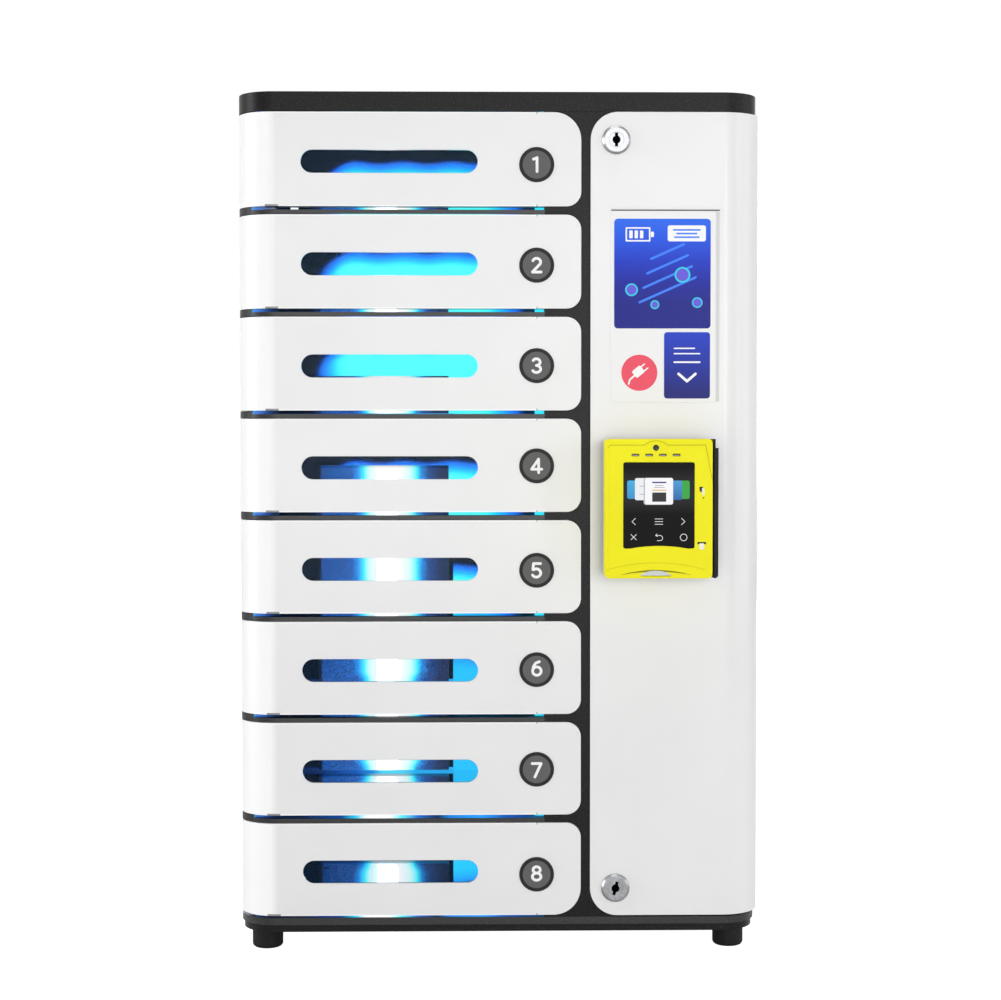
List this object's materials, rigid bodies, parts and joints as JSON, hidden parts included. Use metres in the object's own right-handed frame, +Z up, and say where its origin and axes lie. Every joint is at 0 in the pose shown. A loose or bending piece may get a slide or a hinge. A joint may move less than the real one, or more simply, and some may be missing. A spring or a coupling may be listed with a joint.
{
  "type": "cell phone charging locker",
  "caption": "Black steel phone charging locker with numbered white doors, blue-lit windows, a service door with cam locks, a blank sign and a yellow card terminal, on rubber feet.",
  "frame": {"origin": "on the floor, in the middle of the outline seen from above", "axes": "+X to the viewer's right, +Y from the doors to the back, +Z up"},
  "size_m": [0.5, 0.316, 0.8172],
  "materials": {
    "black_powder_coat": "fine-textured black powder coat",
    "white_powder_coat": "smooth satin white powder coat",
    "steel_rod": "drawn bright steel",
    "zinc_steel": "zinc plated",
    "lock_chrome": "satin chrome",
    "clear_window": "clear polycarbonate",
    "lamp_shell": "blue translucent moulding",
    "lamp_light": "lit lens",
    "badge_plastic": "grey printed label",
    "sign_face": "satin printed plate",
    "rubber": "matte moulded rubber",
    "yellow_plastic": "satin moulded plastic",
    "black_plastic": "fine-grained moulded plastic",
    "screen_glass": "glossy touch glass",
    "power_supply_shell": "bead-blasted aluminium",
    "circuit_board": "green solder mask"
  },
  "bodies": {
    "cabinet": {"top_cap": "black_powder_coat", "base_pan": "black_powder_coat", "base_plate": "black_powder_coat", "back_panel": "black_powder_coat", "left_side_panel": "white_powder_coat", "right_side_panel": "white_powder_coat", "hinge_post": "black_powder_coat", "latch_post": "black_powder_coat", "divider": "black_powder_coat", "shelves": "black_powder_coat", "hinge_rods": "steel_rod", "lamp_units": "lamp_shell", "lamp_lenses": "lamp_light", "latch_bodies": "zinc_steel", "feet": "rubber", "power_supply": "power_supply_shell", "controller_board": "circuit_board", "power_inlet": "black_plastic"},
    "door_body_1": {"door_1": "white_powder_coat", "window_1": "clear_window", "badge_1": "badge_plastic"},
    "door_body_2": {"door_2": "white_powder_coat", "window_2": "clear_window", "badge_2": "badge_plastic"},
    "door_body_3": {"door_3": "white_powder_coat", "window_3": "clear_window", "badge_3": "badge_plastic"},
    "door_body_4": {"door_4": "white_powder_coat", "window_4": "clear_window", "badge_4": "badge_plastic"},
    "door_body_5": {"door_5": "white_powder_coat", "window_5": "clear_window", "badge_5": "badge_plastic"},
    "door_body_6": {"door_6": "white_powder_coat", "window_6": "clear_window", "badge_6": "badge_plastic"},
    "door_body_7": {"door_7": "white_powder_coat", "window_7": "clear_window", "badge_7": "badge_plastic"},
    "door_body_8": {"door_8": "white_powder_coat", "window_8": "clear_window", "badge_8": "badge_plastic"},
    "bolt_body_1": {"latch_bolt_1": "zinc_steel"},
    "bolt_body_2": {"latch_bolt_2": "zinc_steel"},
    "bolt_body_3": {"latch_bolt_3": "zinc_steel"},
    "bolt_body_4": {"latch_bolt_4": "zinc_steel"},
    "bolt_body_5": {"latch_bolt_5": "zinc_steel"},
    "bolt_body_6": {"latch_bolt_6": "zinc_steel"},
    "bolt_body_7": {"latch_bolt_7": "zinc_steel"},
    "bolt_body_8": {"latch_bolt_8": "zinc_steel"},
    "service_body": {"service_door": "white_powder_coat", "sign_plate": "sign_face", "lock_bodies": "lock_chrome", "terminal_housing": "black_plastic", "terminal_cover": "yellow_plastic", "terminal_screen": "screen_glass"},
    "upper_lock": {"lock_cylinder_upper": "lock_chrome", "lock_cam_upper": "zinc_steel"},
    "lower_lock": {"lock_cylinder_lower": "lock_chrome", "lock_cam_lower": "zinc_steel"}
  },
  "joints": [
    {"name": "door_1_hinge", "type": "hinge", "parent": "cabinet", "child": "door_body_1", "pos_m": [-0.2415, -0.061, 0.7541], "axis": [0, 0, -1], "range_deg": [0, 100]},
    {"name": "door_2_hinge", "type": "hinge", "parent": "cabinet", "child": "door_body_2", "pos_m": [-0.2415, -0.061, 0.6581], "axis": [0, 0, -1], "range_deg": [0, 100]},
    {"name": "door_3_hinge", "type": "hinge", "parent": "cabinet", "child": "door_body_3", "pos_m": [-0.2415, -0.061, 0.5621], "axis": [0, 0, -1], "range_deg": [0, 100]},
    {"name": "door_4_hinge", "type": "hinge", "parent": "cabinet", "child": "door_body_4", "pos_m": [-0.2415, -0.061, 0.4661], "axis": [0, 0, -1], "range_deg": [0, 100]},
    {"name": "door_5_hinge", "type": "hinge", "parent": "cabinet", "child": "door_body_5", "pos_m": [-0.2415, -0.061, 0.3701], "axis": [0, 0, -1], "range_deg": [0, 100]},
    {"name": "door_6_hinge", "type": "hinge", "parent": "cabinet", "child": "door_body_6", "pos_m": [-0.2415, -0.061, 0.2741], "axis": [0, 0, -1], "range_deg": [0, 100]},
    {"name": "door_7_hinge", "type": "hinge", "parent": "cabinet", "child": "door_body_7", "pos_m": [-0.2415, -0.061, 0.1781], "axis": [0, 0, -1], "range_deg": [0, 100]},
    {"name": "door_8_hinge", "type": "hinge", "parent": "cabinet", "child": "door_body_8", "pos_m": [-0.2415, -0.061, 0.0821], "axis": [0, 0, -1], "range_deg": [0, 100]},
    {"name": "latch_bolt_1_slide", "type": "slide", "parent": "cabinet", "child": "bolt_body_1", "axis": [-1, 0, 0], "range_m": [0, 0.008]},
    {"name": "latch_bolt_2_slide", "type": "slide", "parent": "cabinet", "child": "bolt_body_2", "axis": [-1, 0, 0], "range_m": [0, 0.008]},
    {"name": "latch_bolt_3_slide", "type": "slide", "parent": "cabinet", "child": "bolt_body_3", "axis": [-1, 0, 0], "range_m": [0, 0.008]},
    {"name": "latch_bolt_4_slide", "type": "slide", "parent": "cabinet", "child": "bolt_body_4", "axis": [-1, 0, 0], "range_m": [0, 0.008]},
    {"name": "latch_bolt_5_slide", "type": "slide", "parent": "cabinet", "child": "bolt_body_5", "axis": [-1, 0, 0], "range_m": [0, 0.008]},
    {"name": "latch_bolt_6_slide", "type": "slide", "parent": "cabinet", "child": "bolt_body_6", "axis": [-1, 0, 0], "range_m": [0, 0.008]},
    {"name": "latch_bolt_7_slide", "type": "slide", "parent": "cabinet", "child": "bolt_body_7", "axis": [-1, 0, 0], "range_m": [0, 0.008]},
    {"name": "latch_bolt_8_slide", "type": "slide", "parent": "cabinet", "child": "bolt_body_8", "axis": [-1, 0, 0], "range_m": [0, 0.008]},
    {"name": "service_door_hinge", "type": "hinge", "parent": "cabinet", "child": "service_body", "pos_m": [0.2415, -0.061, 0.4181], "axis": [0, 0, 1], "range_deg": [0, 100]},
    {"name": "upper_lock_turn", "type": "hinge", "parent": "service_body", "child": "upper_lock", "pos_m": [0.1107, -0.12, 0.7718], "axis": [0, -1, 0], "range_deg": [0, 90]},
    {"name": "lower_lock_turn", "type": "hinge", "parent": "service_body", "child": "lower_lock", "pos_m": [0.1107, -0.12, 0.0644], "axis": [0, 1, 0], "range_deg": [0, 90]}
  ]
}
